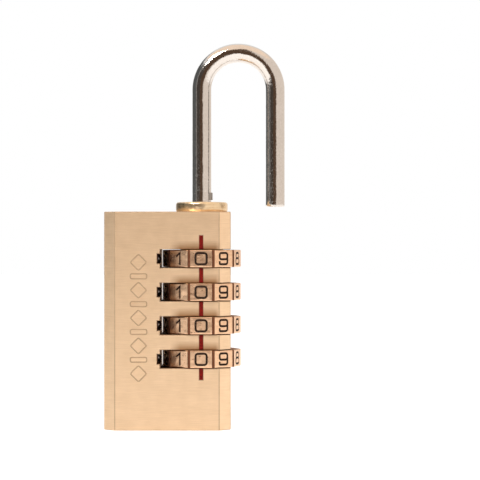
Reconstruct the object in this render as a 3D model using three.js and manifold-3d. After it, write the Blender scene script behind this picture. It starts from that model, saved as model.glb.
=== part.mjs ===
// A four-dial combination padlock with a resettable code, shown open: its shackle is lifted and swung out.
// Millimetres, +Z up. The front faces -Y, and the dials stand out of the front, the back and the +X side.
// The origin is the middle of the case's bottom face.
import * as THREE from "three";
import { mergeVertices } from "three/addons/utils/BufferGeometryUtils.js";
import Module from "manifold-3d";

// Case: a brass block with chamfered upright corners.
const CASE_WIDTH = 21;
const CASE_DEPTH = 11.6;
const CASE_HEIGHT = 36.2;
const CASE_CHAMFER = 1.85;
const CASE_EDGE_BEVEL = 0.2;
const CASE_EDGE_BREAK = 0.3;
const CASE_FLOOR = 1.5; // thickness of the metal under the heel's bore

// The mechanism's axis is the long leg's, and the dials and sleeves turn about it too.
const AXIS_X = 5.65;
const MAIN_BORE_RADIUS = 4.05;
const MAIN_BORE_BOTTOM = 6;
const HEEL_BORE_RADIUS = 2.3;

// Dials, counted from the top.
const DIAL_COUNT = 4;
const DIAL_SIDES = 10;
const DIAL_PITCH = 5.54;
const TOP_DIAL_CENTRE = 28.42;
const DIAL_HEIGHT = 2.86;
const DIAL_CORNER_RADIUS = 6.62;
const DIAL_BEVEL = 0.2;
const DIAL_GROOVE_WIDTH = 0.5;
const DIAL_GROOVE_DEPTH = 0.3;
const DIAL_BORE_RADIUS = 4.1;
const DIAL_TOOTH_RADIUS = 3.68;
const DIAL_TOOTH_HEIGHT = 0.8;
const SLOT_HEIGHT = 3.06;
const SLOT_WALL_X = -1.17;

// Clutch sleeves: one in each dial, joined to it by splines near its middle.
const CLUTCH_HEIGHT = 5.44;
const CLUTCH_RADIUS = 3.6;
const CLUTCH_SPLINE_RADIUS = 3.93;
const CLUTCH_SPLINE_BOTTOM = 3.37;
const CLUTCH_SPLINE_HEIGHT = 0.7;
const CLUTCH_FLANGE = 1.4;
const CLUTCH_COUNTERBORE = 2.65;
const SPLINE_ANGLE = THREE.MathUtils.degToRad(14);
const GATE_RADIUS = 2.5;
const GATE_WIDTH = 1.1;

// Shackle: a 1/8 inch rod. The heights are those of the open lock.
const ROD_RADIUS = 1.5875;
const ROD_CLEARANCE = 0.12;
const LEG_SPACING = 12.33;
const CROWN_CENTRE = 56.75;
const SHACKLE_LIFT = 5.5; // how far the shackle rises when the lock opens
const HEEL_BOTTOM = CASE_FLOOR + SHACKLE_LIFT + 0.2;
const TOE_BOTTOM = 37.05;
const TOE_CHAMFER = 0.25;
const TOOTH_ABOVE_SLEEVE_BOTTOM = 3.3;
const TOOTH_HEIGHT = 1.2;
const TOOTH_WIDTH = 0.9;
const TOOTH_RADIUS = 2.35;
const STOP_FLANGE_TOP = 33.4;
const STOP_FLANGE_HEIGHT = 0.65;
const LUG_BOTTOM = 38.2;
const LUG_HEIGHT = 1.25;
const LUG_WIDTH = 2;
const LUG_RADIUS = 1.82;
const SPRING_BORE_RADIUS = 1;
const SPRING_BORE_DEPTH = 4.5;
const TOE_HOLE_RADIUS = 1.75;
const TOE_HOLE_BOTTOM = TOE_BOTTOM - SHACKLE_LIFT - 2;

// Collar: a flanged bush pressed into the top of the main bore.
const COLLAR_RADIUS = 4.34;
const COLLAR_THICKNESS = 1.65;
const COLLAR_RIM_BEVEL = 0.45;
const COLLAR_SPIGOT_RADIUS = 4;
const COLLAR_SPIGOT_BOTTOM = 33.5;
const KEYWAY_WIDTH = 2.2;
const KEYWAY_RADIUS = 1.98;

// Rings and springs round the axis.
const RING_GAP = 0.06;
const RING_OUTER_RADIUS = 3.9;
const SPRING_SEAT_THICKNESS = 0.32;
const RESET_SPRING = { radius: 3.25, wire: 0.2, turns: 3, stepsPerTurn: 12 };
const SHACKLE_SPRING = { radius: 0.72, wire: 0.14, turns: 10, stepsPerTurn: 8 };
const SPRING_CAP = { radius: 0.9, thickness: 0.6 };

// Detents: a ball and a spring in a blind bore in the wall of each slot.
const DETENT_BORE_RADIUS = 0.8;
const DETENT_BORE_END_X = -5.2;
const DETENT_BALL_RADIUS = 0.7;
const DETENT_BALL_X = -1.75;
const DETENT_TRAVEL = 0.3;
const DETENT_SPRING = { radius: 0.5, wire: 0.12, turns: 3.5, stepsPerTurn: 8 };
const END_GAP = 0.05;
const LEAD_IN_DEPTH = 0.5;
const LEAD_IN_FRONT_HEIGHT = 1.66;
const LEAD_IN_BACK_HEIGHT = 1.06;
const LEAD_IN_BACK_Y = 0.8;

// Index line: a shallow painted groove down the front, broken by the dials.
const INDEX_WIDTH = 0.62;
const INDEX_DEPTH = 0.12;
const INDEX_BOTTOM = 8.37;
const INDEX_TOP = 32.25;

const ROUND_SIDES = 24;
const ROD_SIDES = 20;
const CROWN_STEPS = 14;
const SMALL_SIDES = 12;
const WIRE_SIDES = 5;
const PAST = 1; // how far a cutter runs past the face that it opens

const BRASS = new THREE.MeshStandardMaterial({ color: 0xe1b88f, metalness: 1, roughness: 0.38 });
const POLISHED_BRASS = new THREE.MeshStandardMaterial({ color: 0xe6bd6a, metalness: 1, roughness: 0.15 });
const DIAL_BRASS = new THREE.MeshStandardMaterial({ color: 0xe3bba0, metalness: 1, roughness: 0.3 });
const CHROME = new THREE.MeshStandardMaterial({ color: 0xd9d4d0, metalness: 1, roughness: 0.1 });
const STEEL = new THREE.MeshStandardMaterial({ color: 0x9a9a9c, metalness: 1, roughness: 0.35 });

const wasm = await Module();
wasm.setup();

// A closed geometry as a solid that can be joined and cut.
function solidOf(geometry) {
  const bare = geometry.index ? geometry.toNonIndexed() : geometry.clone();
  bare.deleteAttribute("normal");
  bare.deleteAttribute("uv");
  const merged = mergeVertices(bare, 1e-4);
  const vertProperties = merged.attributes.position.array;
  const triVerts = new Uint32Array(merged.index.array);
  return new wasm.Manifold(new wasm.Mesh({ numProp: 3, vertProperties, triVerts }));
}

function geometryOf(solid) {
  const mesh = solid.getMesh();
  const geometry = new THREE.BufferGeometry();
  geometry.setAttribute("position", new THREE.BufferAttribute(mesh.vertProperties, 3));
  geometry.setIndex(new THREE.BufferAttribute(mesh.triVerts, 1));
  geometry.computeVertexNormals();
  return geometry;
}

function block([x0, y0, z0], [x1, y1, z1]) {
  const box = new THREE.BoxGeometry(x1 - x0, y1 - y0, z1 - z0);
  return solidOf(box.translate((x0 + x1) / 2, (y0 + y1) / 2, (z0 + z1) / 2));
}

// A solid turned about Z from a profile of [radius, height] pairs, bottom to top, which starts and ends
// on the axis or closes on itself. The first side starts at firstAngle from the front.
function turned(profile, sides = ROUND_SIDES, firstAngle = 0) {
  const points = profile.map(([radius, height]) => new THREE.Vector2(radius, height));
  return solidOf(new THREE.LatheGeometry(points, sides, firstAngle).rotateX(Math.PI / 2));
}

function cylinder(radius, bottom, top, sides = ROUND_SIDES) {
  return turned([[0, bottom], [radius, bottom], [radius, top], [0, top]], sides);
}

function ring(innerRadius, outerRadius, bottom, top) {
  const outer = [[outerRadius, bottom], [outerRadius, top]];
  const inner = [[innerRadius, top], [innerRadius, bottom]];
  return turned([inner[1], ...outer, ...inner]);
}

// Ten sectors between two radii, evenly spaced, with the first centred on firstAngle from +X.
function sectors(innerRadius, outerRadius, bottom, height, firstAngle) {
  const parts = [];
  for (let side = 0; side < DIAL_SIDES; side += 1) {
    const middle = firstAngle + (side * 2 * Math.PI) / DIAL_SIDES;
    const from = middle - SPLINE_ANGLE / 2;
    const to = middle + SPLINE_ANGLE / 2;
    const shape = new THREE.Shape();
    shape.absarc(0, 0, outerRadius, from, to, false);
    shape.absarc(0, 0, innerRadius, to, from, true);
    const settings = { depth: height, bevelEnabled: false, curveSegments: 2 };
    parts.push(solidOf(new THREE.ExtrudeGeometry(shape, settings).translate(0, 0, bottom)));
  }
  return parts;
}

function circle(radius, sides) {
  const shape = new THREE.Shape();
  for (let side = 0; side < sides; side += 1) {
    const angle = (side * 2 * Math.PI) / sides;
    const place = [radius * Math.cos(angle), radius * Math.sin(angle)];
    if (side === 0) shape.moveTo(...place);
    else shape.lineTo(...place);
  }
  shape.closePath();
  return shape;
}

class Helix extends THREE.Curve {
  constructor(radius, length, turns) {
    super();
    Object.assign(this, { radius, length, turns });
  }

  getPoint(t, target = new THREE.Vector3()) {
    const angle = t * this.turns * 2 * Math.PI;
    return target.set(this.radius * Math.cos(angle), this.radius * Math.sin(angle), t * this.length);
  }
}

// A coil spring of round wire that fills the height from 0 to length.
function coilSpring({ radius, wire, turns, stepsPerTurn }, length) {
  const extrudePath = new Helix(radius, length - 2 * wire, turns);
  const steps = Math.round(turns * stepsPerTurn);
  const geometry = new THREE.ExtrudeGeometry(circle(wire, WIRE_SIDES), { extrudePath, steps });
  return geometryOf(solidOf(geometry.translate(0, 0, wire)));
}

// The shackle's centre line, from the heel over the crown to the toe. Each leg is one step long.
class ShackleLine extends THREE.Curve {
  getPointAt(share, target = new THREE.Vector3()) {
    const step = Math.round(share * (CROWN_STEPS + 2));
    if (step === 0) return target.set(0, 0, HEEL_BOTTOM);
    if (step === CROWN_STEPS + 2) return target.set(LEG_SPACING, 0, TOE_BOTTOM);
    const angle = this.crownAngle(step);
    const radius = LEG_SPACING / 2;
    return target.set(radius * (1 - Math.cos(angle)), 0, CROWN_CENTRE + radius * Math.sin(angle));
  }

  getTangentAt(share, target = new THREE.Vector3()) {
    const angle = this.crownAngle(Math.round(share * (CROWN_STEPS + 2)));
    return target.set(Math.sin(angle), 0, Math.cos(angle));
  }

  crownAngle(step) {
    return (Math.PI * THREE.MathUtils.clamp(step - 1, 0, CROWN_STEPS)) / CROWN_STEPS;
  }
}

const halfDepth = CASE_DEPTH / 2;
const halfWidth = CASE_WIDTH / 2;
const dialCentres = Array.from({ length: DIAL_COUNT }, (_, k) => TOP_DIAL_CENTRE - k * DIAL_PITCH);
const sleeveBottoms = dialCentres.map((centre) => centre - CLUTCH_HEIGHT / 2);

// The case's outline: a rectangle with its corners chamfered, and each chamfer's two edges broken.
function caseOutline() {
  const flatX = halfWidth - CASE_CHAMFER;
  const flatY = halfDepth - CASE_CHAMFER;
  const corners = [
    [-flatX, -halfDepth],
    [flatX, -halfDepth],
    [halfWidth, -flatY],
    [halfWidth, flatY],
    [flatX, halfDepth],
    [-flatX, halfDepth],
    [-halfWidth, flatY],
    [-halfWidth, -flatY],
  ].map(([x, y]) => new THREE.Vector2(x, y));
  const points = corners.flatMap((corner, index) => {
    const before = corners[(index + corners.length - 1) % corners.length];
    const after = corners[(index + 1) % corners.length];
    const along = (end) => end.clone().sub(corner).setLength(CASE_EDGE_BREAK).add(corner);
    return [along(before), along(after)];
  });
  return new THREE.Shape(points);
}

function caseBlock() {
  const settings = {
    depth: CASE_HEIGHT - 2 * CASE_EDGE_BEVEL,
    bevelThickness: CASE_EDGE_BEVEL,
    bevelSize: CASE_EDGE_BEVEL,
    bevelOffset: -CASE_EDGE_BEVEL,
    bevelSegments: 1,
  };
  const geometry = new THREE.ExtrudeGeometry(caseOutline(), settings);
  return solidOf(geometry.translate(0, 0, CASE_EDGE_BEVEL));
}

// The tapered groove in a slot's wall that leads from the front face to the detent's bore.
function leadIn(centre) {
  const frontY = -halfDepth - PAST;
  const taper = (LEAD_IN_FRONT_HEIGHT - LEAD_IN_BACK_HEIGHT) / 2 / (LEAD_IN_BACK_Y + halfDepth);
  const backHalf = LEAD_IN_BACK_HEIGHT / 2;
  const frontHalf = LEAD_IN_FRONT_HEIGHT / 2 + taper * PAST;
  // Drawn with its height along -X and its depth along Y, then turned so that it is cut along X.
  const outline = new THREE.Shape();
  outline.moveTo(-frontHalf, frontY);
  outline.lineTo(frontHalf, frontY);
  outline.lineTo(backHalf, LEAD_IN_BACK_Y);
  outline.lineTo(-backHalf, LEAD_IN_BACK_Y);
  outline.closePath();
  const settings = { depth: LEAD_IN_DEPTH + PAST, bevelEnabled: false };
  const geometry = new THREE.ExtrudeGeometry(outline, settings).rotateY(Math.PI / 2);
  return solidOf(geometry.translate(SLOT_WALL_X - LEAD_IN_DEPTH, 0, centre));
}

// The slot of one dial, with the lead-in groove and the detent's blind bore in its wall.
function slotCutters(centre) {
  const low = centre - SLOT_HEIGHT / 2;
  const high = centre + SLOT_HEIGHT / 2;
  const across = halfDepth + PAST;
  const bore = cylinder(DETENT_BORE_RADIUS, DETENT_BORE_END_X, SLOT_WALL_X + PAST, SMALL_SIDES);
  return [
    block([SLOT_WALL_X, -across, low], [halfWidth + PAST, across, high]),
    leadIn(centre),
    bore.rotate([0, 90, 0]).translate([0, 0, centre]),
  ];
}

function makeCase() {
  const cutters = [
    cylinder(MAIN_BORE_RADIUS, MAIN_BORE_BOTTOM, CASE_HEIGHT + PAST).translate([AXIS_X, 0, 0]),
    cylinder(HEEL_BORE_RADIUS, CASE_FLOOR, MAIN_BORE_BOTTOM + PAST).translate([AXIS_X, 0, 0]),
    cylinder(TOE_HOLE_RADIUS, TOE_HOLE_BOTTOM, CASE_HEIGHT + PAST).translate([AXIS_X - LEG_SPACING, 0, 0]),
    block(
      [AXIS_X - INDEX_WIDTH / 2, -halfDepth - PAST, INDEX_BOTTOM],
      [AXIS_X + INDEX_WIDTH / 2, -halfDepth + INDEX_DEPTH, INDEX_TOP],
    ),
    ...dialCentres.flatMap(slotCutters),
  ];
  return geometryOf(cutters.reduce((left, cutter) => left.subtract(cutter), caseBlock()));
}

function makeCollar() {
  const rim = COLLAR_RADIUS - COLLAR_RIM_BEVEL;
  const top = CASE_HEIGHT + COLLAR_THICKNESS;
  const body = turned([
    [0, COLLAR_SPIGOT_BOTTOM],
    [COLLAR_SPIGOT_RADIUS, COLLAR_SPIGOT_BOTTOM],
    [COLLAR_SPIGOT_RADIUS, CASE_HEIGHT],
    [COLLAR_RADIUS - COLLAR_RIM_BEVEL / 2, CASE_HEIGHT],
    [COLLAR_RADIUS, CASE_HEIGHT + COLLAR_RIM_BEVEL],
    [COLLAR_RADIUS, top - COLLAR_RIM_BEVEL],
    [rim, top],
    [0, top],
  ]);
  const bore = cylinder(ROD_RADIUS + ROD_CLEARANCE, COLLAR_SPIGOT_BOTTOM - PAST, top + PAST);
  const keyways = cylinder(KEYWAY_RADIUS, COLLAR_SPIGOT_BOTTOM - PAST, top + PAST).intersect(
    block(
      [-KEYWAY_RADIUS, -KEYWAY_WIDTH / 2, COLLAR_SPIGOT_BOTTOM - PAST],
      [KEYWAY_RADIUS, KEYWAY_WIDTH / 2, top + PAST],
    ),
  );
  return geometryOf(body.subtract(bore).subtract(keyways));
}

// A ring that trims the toe's edge at 45 degrees.
function toeTrimmer() {
  const margin = 0.2;
  const reach = ROD_RADIUS + margin;
  const low = TOE_BOTTOM - margin;
  const across = TOE_CHAMFER + 2 * margin;
  const section = [
    [reach - across, low],
    [reach, low],
    [reach, low + across],
    [reach - across, low],
  ];
  return turned(section).translate([LEG_SPACING, 0, 0]);
}

// The rod with its teeth, stop flange and lug, which all stand on the same side as the short leg.
function makeShackle() {
  const settings = { extrudePath: new ShackleLine(), steps: CROWN_STEPS + 2 };
  const rod = solidOf(new THREE.ExtrudeGeometry(circle(ROD_RADIUS, ROD_SIDES), settings));
  const lugSide = block(
    [0, -LUG_WIDTH / 2, LUG_BOTTOM],
    [LUG_RADIUS + PAST, LUG_WIDTH / 2, LUG_BOTTOM + LUG_HEIGHT],
  );
  const additions = [
    cylinder(TOOTH_RADIUS, STOP_FLANGE_TOP - STOP_FLANGE_HEIGHT, STOP_FLANGE_TOP, ROD_SIDES),
    cylinder(LUG_RADIUS, LUG_BOTTOM, LUG_BOTTOM + LUG_HEIGHT, ROD_SIDES).intersect(lugSide),
  ];
  for (const sleeveBottom of sleeveBottoms) {
    const low = sleeveBottom + TOOTH_ABOVE_SLEEVE_BOTTOM;
    additions.push(
      block([0, -TOOTH_WIDTH / 2, low], [TOOTH_RADIUS, TOOTH_WIDTH / 2, low + TOOTH_HEIGHT]),
    );
  }
  const springBoreTop = HEEL_BOTTOM + SPRING_BORE_DEPTH;
  const springBore = cylinder(SPRING_BORE_RADIUS, HEEL_BOTTOM - PAST, springBoreTop, SMALL_SIDES);
  const whole = additions.reduce((left, piece) => left.add(piece), rod);
  return geometryOf(whole.subtract(springBore).subtract(toeTrimmer()));
}

// A dial about its own middle. Its facets face the front and every 36 degrees from there, with a groove
// at each corner, and its teeth reach in at the top.
function makeDial() {
  const half = DIAL_HEIGHT / 2;
  const corner = Math.PI / DIAL_SIDES;
  const inner = DIAL_CORNER_RADIUS - DIAL_BEVEL;
  const profile = [
    [0, -half],
    [inner, -half],
    [DIAL_CORNER_RADIUS, DIAL_BEVEL - half],
    [DIAL_CORNER_RADIUS, half - DIAL_BEVEL],
    [inner, half],
    [0, half],
  ];
  let dial = turned(profile, DIAL_SIDES, corner);
  dial = dial.subtract(cylinder(DIAL_BORE_RADIUS, -half - PAST, half + PAST));
  const groove = block(
    [DIAL_CORNER_RADIUS - DIAL_GROOVE_DEPTH, -DIAL_GROOVE_WIDTH / 2, -half - PAST],
    [DIAL_CORNER_RADIUS + PAST, DIAL_GROOVE_WIDTH / 2, half + PAST],
  );
  for (let side = 0; side < DIAL_SIDES; side += 1) {
    dial = dial.subtract(groove.rotate([0, 0, (side * 360) / DIAL_SIDES]));
  }
  const toothBottom = half - DIAL_TOOTH_HEIGHT;
  const teeth = sectors(DIAL_TOOTH_RADIUS, DIAL_BORE_RADIUS + 0.1, toothBottom, DIAL_TOOTH_HEIGHT, corner);
  return geometryOf(teeth.reduce((left, tooth) => left.add(tooth), dial));
}

// A sleeve from its bottom face up, with its gate towards +X.
function makeClutch() {
  const bore = ROD_RADIUS + ROD_CLEARANCE;
  let sleeve = turned([
    [bore, 0],
    [CLUTCH_RADIUS, 0],
    [CLUTCH_RADIUS, CLUTCH_HEIGHT],
    [CLUTCH_COUNTERBORE, CLUTCH_HEIGHT],
    [CLUTCH_COUNTERBORE, CLUTCH_FLANGE],
    [bore, CLUTCH_FLANGE],
    [bore, 0],
  ]);
  const inner = CLUTCH_RADIUS - 0.1;
  const splines = sectors(inner, CLUTCH_SPLINE_RADIUS, CLUTCH_SPLINE_BOTTOM, CLUTCH_SPLINE_HEIGHT, 0);
  sleeve = splines.reduce((left, spline) => left.add(spline), sleeve);
  const gate = block([0, -GATE_WIDTH / 2, -PAST], [GATE_RADIUS, GATE_WIDTH / 2, CLUTCH_FLANGE + 0.5]);
  return geometryOf(sleeve.subtract(gate));
}

const padlock = new THREE.Group();
const mechanism = new THREE.Group();
mechanism.position.x = AXIS_X;
padlock.add(mechanism);

function place(parent, name, geometry, material, [x, y, z] = [0, 0, 0]) {
  const mesh = new THREE.Mesh(geometry, material);
  mesh.name = name;
  mesh.position.set(x, y, z);
  parent.add(mesh);
  return mesh;
}

place(padlock, "case", makeCase(), BRASS);
place(mechanism, "collar", makeCollar(), POLISHED_BRASS);
place(mechanism, "shackle", makeShackle(), CHROME);

dialCentres.forEach((centre, k) => {
  place(mechanism, `dial_${k + 1}`, makeDial(), DIAL_BRASS, [0, 0, centre]);
  place(mechanism, `clutch_${k + 1}`, makeClutch(), BRASS, [0, 0, sleeveBottoms[k]]);
});

// The ring above the stack of sleeves fills the height up to the collar.
const pressureRingBottom = sleeveBottoms[0] + CLUTCH_HEIGHT + RING_GAP;
const pressureRingTop = COLLAR_SPIGOT_BOTTOM - RING_GAP;
const pressureRing = ring(CLUTCH_COUNTERBORE, RING_OUTER_RADIUS, pressureRingBottom, pressureRingTop);
place(mechanism, "pressure_ring", geometryOf(pressureRing), STEEL);

const seatTop = sleeveBottoms[DIAL_COUNT - 1] - RING_GAP;
const seatBottom = seatTop - SPRING_SEAT_THICKNESS;
const springSeat = ring(CLUTCH_COUNTERBORE, RING_OUTER_RADIUS, seatBottom, seatTop);
place(mechanism, "spring_seat", geometryOf(springSeat), STEEL);
const resetSpring = coilSpring(RESET_SPRING, seatBottom - RING_GAP - MAIN_BORE_BOTTOM);
place(mechanism, "reset_spring", resetSpring, STEEL, [0, 0, MAIN_BORE_BOTTOM]);

const capTop = HEEL_BOTTOM + SPRING_BORE_DEPTH - END_GAP;
const capBottom = capTop - SPRING_CAP.thickness;
const springCap = cylinder(SPRING_CAP.radius, capBottom, capTop, SMALL_SIDES);
place(mechanism, "spring_cap", geometryOf(springCap), STEEL);
const shackleSpring = coilSpring(SHACKLE_SPRING, capBottom - END_GAP - CASE_FLOOR);
place(mechanism, "shackle_spring", shackleSpring, STEEL, [0, 0, CASE_FLOOR]);

// Each detent spring lies along X behind its ball, and leaves the ball its travel.
const detentSpringStart = DETENT_BORE_END_X + END_GAP;
const detentSpringEnd = DETENT_BALL_X - DETENT_BALL_RADIUS - DETENT_TRAVEL - END_GAP;
dialCentres.forEach((centre, k) => {
  const ball = new THREE.SphereGeometry(DETENT_BALL_RADIUS, SMALL_SIDES, SMALL_SIDES / 2);
  place(padlock, `detent_ball_${k + 1}`, ball, STEEL, [DETENT_BALL_X, 0, centre]);
  const spring = coilSpring(DETENT_SPRING, detentSpringEnd - detentSpringStart);
  const mesh = place(padlock, `detent_spring_${k + 1}`, spring, STEEL, [detentSpringStart, 0, centre]);
  mesh.rotation.y = Math.PI / 2;
});

export default padlock;
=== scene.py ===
"""Looks for an open four-dial combination padlock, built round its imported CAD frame.

Lengths are in millimetres up to the point where a mesh is made, and in metres after it. The front faces -Y.
"""

import math

import bmesh
import bpy
from mathutils import Matrix, Vector


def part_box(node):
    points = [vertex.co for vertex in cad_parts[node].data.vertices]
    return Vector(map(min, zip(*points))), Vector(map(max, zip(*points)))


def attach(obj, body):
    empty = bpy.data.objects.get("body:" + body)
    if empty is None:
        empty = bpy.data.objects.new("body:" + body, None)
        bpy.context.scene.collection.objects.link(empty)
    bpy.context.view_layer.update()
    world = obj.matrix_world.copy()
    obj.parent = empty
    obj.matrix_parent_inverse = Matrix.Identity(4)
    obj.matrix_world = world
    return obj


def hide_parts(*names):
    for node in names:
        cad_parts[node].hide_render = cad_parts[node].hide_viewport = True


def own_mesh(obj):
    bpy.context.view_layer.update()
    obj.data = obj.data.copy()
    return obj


MM = 0.001

# Case.
CASE_CHAMFER = 1.85
CASE_EDGE = 0.11
CASE_FLOOR = 1.5
MAIN_BORE_RADIUS = 4.05
MAIN_BORE_BOTTOM = 6
HEEL_BORE_RADIUS = 2.3
TOE_HOLE_RADIUS = 1.75
TOE_HOLE_BOTTOM = 29.55
SLOT_HEIGHT = 3.06
SLOT_WALL_X = -1.17
LEAD_IN_DEPTH = 0.5
LEAD_IN_FRONT_HEIGHT = 1.66
LEAD_IN_BACK_HEIGHT = 1.06
LEAD_IN_BACK_Y = 0.8
DETENT_BORE_RADIUS = 0.8
DETENT_BORE_END_X = -5.2
DETENT_BALL_RADIUS = 0.7
INDEX_WIDTH = 0.62
INDEX_DEPTH = 0.12
INDEX_BOTTOM = 8.37
INDEX_TOP = 32.25

# An engraved ornament on the front, left of the dials.
ORNAMENT_X = -4.7
ORNAMENT_BOTTOM = 9.4
ORNAMENT_PITCH = 2.3
ORNAMENT_COUNT = 9
ORNAMENT_HALF_WIDTH = 1.35
ORNAMENT_STROKE = 0.11

# Dials.
DIAL_COUNT = 4
DIAL_SIDES = 10
DIAL_CORNER_RADIUS = 6.62
DIAL_BORE_RADIUS = 4.1
DIAL_TOOTH_RADIUS = 3.68
DIAL_TOOTH_HEIGHT = 0.8
DIAL_GROOVE_WIDTH = 0.5
DIAL_GROOVE_DEPTH = 0.3
DIAL_EDGE = 0.16
DIAL_BORE_EDGE = 0.1
DIAL_STEP = 360 / DIAL_SIDES
SPLINE_ANGLE = math.radians(14)

# Digits: centre lines of round strokes, on a grid whose half width and half height are 1.
DIGIT_HALF_WIDTH = 0.92
DIGIT_HALF_HEIGHT = 0.93
STROKE_RADIUS = 0.18
STROKE_ENGRAVING = 1.3
PAINT_DEPTH = 0.11
PAINT_THICKNESS = 0.55
DIGITS = {
    0: [("loop", 0.5, [(-1, -1), (1, -1), (1, 1), (-1, 1)])],
    1: [("line", 0.0, [(0.2, -1), (0.2, 1), (-0.5, 0.45)])],
    2: [("line", 0.4, [(-0.8, 0.5), (-0.8, 1), (0.8, 1), (0.8, 0.15), (-0.8, -1), (0.9, -1)])],
    3: [
        ("line", 0.4, [(-0.8, 1), (0.75, 1), (0.75, 0.08), (-0.3, 0.08)]),
        ("line", 0.4, [(0, 0.08), (0.85, 0.08), (0.85, -1), (-0.85, -1), (-0.85, -0.6)]),
    ],
    4: [
        ("line", 0.0, [(0.4, -1), (0.4, 1), (-0.85, -0.4)]),
        ("line", 0.0, [(-0.85, -0.4), (0.9, -0.4)]),
    ],
    5: [("line", 0.35, [(0.8, 1), (-0.7, 1), (-0.7, 0.15), (0.85, 0.15), (0.85, -1), (-0.85, -1)])],
    6: [
        ("loop", 0.4, [(-0.85, -1), (0.85, -1), (0.85, 0.12), (-0.85, 0.12)]),
        ("line", 0.4, [(-0.85, -0.4), (-0.85, 1), (0.75, 1), (0.75, 0.6)]),
    ],
    7: [("line", 0.1, [(-0.85, 1), (0.85, 1), (-0.25, -1)])],
    8: [
        ("loop", 0.4, [(-0.85, -1), (0.85, -1), (0.85, 0.05), (-0.85, 0.05)]),
        ("loop", 0.38, [(-0.75, 0.05), (0.75, 0.05), (0.75, 1), (-0.75, 1)]),
    ],
    9: [
        ("loop", 0.4, [(-0.85, -0.12), (0.85, -0.12), (0.85, 1), (-0.85, 1)]),
        ("line", 0.4, [(0.85, 0.4), (0.85, -1), (-0.85, -1), (-0.85, -0.6)]),
    ],
}

# Shackle.
ROD_RADIUS = 1.5875
LEG_SPACING = 12.33
CROWN_CENTRE = 56.75
TOE_BOTTOM = 37.05
TOE_EDGE = 0.28
TOOTH_RADIUS = 2.35
TOOTH_WIDTH = 0.9
TOOTH_HEIGHT = 1.2
TOOTH_ABOVE_DIAL_CENTRE = 0.58
STOP_FLANGE_TOP = 33.4
STOP_FLANGE_HEIGHT = 0.65
STOP_FLANGE_BEVEL = 0.08
LUG_BOTTOM = 38.2
LUG_HEIGHT = 1.25
LUG_WIDTH = 2
LUG_RADIUS = 1.82
SPRING_BORE_RADIUS = 1
SPRING_BORE_DEPTH = 4.5

# Springs, and how far their joints press them.
SHACKLE_SPRING = {"radius": 0.72, "wire": 0.14, "turns": 10}
RESET_SPRING = {"radius": 3.25, "wire": 0.2, "turns": 3}

# Collar.
COLLAR_SPIGOT_RADIUS = 4
COLLAR_BORE_RADIUS = 1.7075
COLLAR_RIM = 0.45
COLLAR_FOOT = 0.24
COLLAR_SPIGOT_BEVEL = 0.15
COLLAR_MOUTH_BEVEL = 0.12
KEYWAY_WIDTH = 2.2
KEYWAY_RADIUS = 1.98

# Camera.
CAMERA_PLACE = (12.07, -344, 31.5)
CAMERA_LENS = 153.5

# Studio. The sheets stand round the object. Each has a name, a first and a last angle, a height, a distance
# and a colour. Angle 0 is in front, and 90 is at +X.
SHEETS = [
    ("far_left", -155, -75, 430, 450, (0.12, 0.125, 0.125)),
    ("strip", -73, -65, 430, 448, (0.42, 0.41, 0.40)),
    ("near_left", -75, -22, 430, 450, (0.075, 0.06, 0.05)),
    ("front", -22, 14, 520, 450, (0.115, 0.066, 0.04)),
    ("right", 14, 160, 520, 450, (1.0, 0.88, 0.78)),
]
FLOOR_REACH = 1500
FLOOR_Z = -0.02
FLOOR_COLOUR = (0.98, 0.99, 1.0)
ROOF_COLOUR = (1.25, 1.0, 0.80)
APRON_COLOUR = (0.11, 0.066, 0.04)
KEY_PLACE = (-250, -330, 420)
KEY_TARGET = (10, 0, 32)
KEY_SIZE = (200, 160)
KEY_POWER = 3.2
KEY_COLOUR = (1.0, 0.96, 0.9)

# Materials.
# The name of the mesh attribute that holds painted shade.
PAINTED_SHADE = "painted_shade"
# A painted shadow on the front above each dial: its brown colour, its height, and where it sets in and
# fades.
PAINTED_SHADOW_COLOUR = (0.36, 0.18, 0.075)
PAINTED_SHADOW_HEIGHT = 1.5
PAINTED_SHADOW_LEFT = (0.4, 2.2)  # it sets in over this stretch of X
PAINTED_SHADOW_RIGHT = (8.0, 9.0)  # and fades over this one
PAINTED_SHADOW_DEPTH = (-5.7, -5.4)
# How much painted shade the lug, the slot walls and the engraving get.
LUG_PAINTED_SHADE = 0.7
WALL_PAINTED_SHADE = 0.35
ENGRAVING_PAINTED_SHADE = 0.4

PAST = 1  # how far a cutter goes past what it cuts
FINE = 64  # sides of a round piece


# ---------------------------------------------------------------- mesh tools


def new_object(name, vertices, faces):
    mesh = bpy.data.meshes.new(name)
    mesh.from_pydata([Vector(v) * MM for v in vertices], [], faces)
    work = bmesh.new()
    work.from_mesh(mesh)
    bmesh.ops.remove_doubles(work, verts=work.verts, dist=1e-7)
    bmesh.ops.recalc_face_normals(work, faces=work.faces)
    work.to_mesh(mesh)
    work.free()
    obj = bpy.data.objects.new(name, mesh)
    bpy.context.scene.collection.objects.link(obj)
    return obj


def loft(name, rings, closed=False):
    """A mesh through rings of points. Its ends are capped, unless the rings close on themselves."""
    count = len(rings[0])
    faces = []
    for i in range(len(rings) if closed else len(rings) - 1):
        low = i * count
        high = (i + 1) % len(rings) * count
        for k in range(count):
            n = (k + 1) % count
            faces.append((low + k, low + n, high + n, high + k))
    if not closed:
        last = (len(rings) - 1) * count
        faces.append(tuple(reversed(range(count))))
        faces.append(tuple(range(last, last + count)))
    return new_object(name, [point for ring in rings for point in ring], faces)


def circle(radius, z, sides=FINE, centre=(0, 0)):
    angles = [2 * math.pi * k / sides for k in range(sides)]
    return [(centre[0] + radius * math.cos(a), centre[1] + radius * math.sin(a), z) for a in angles]


def lathe(name, profile, sides=FINE, closed=False, centre=(0, 0)):
    return loft(name, [circle(r, z, sides, centre) for r, z in profile], closed)


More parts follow.
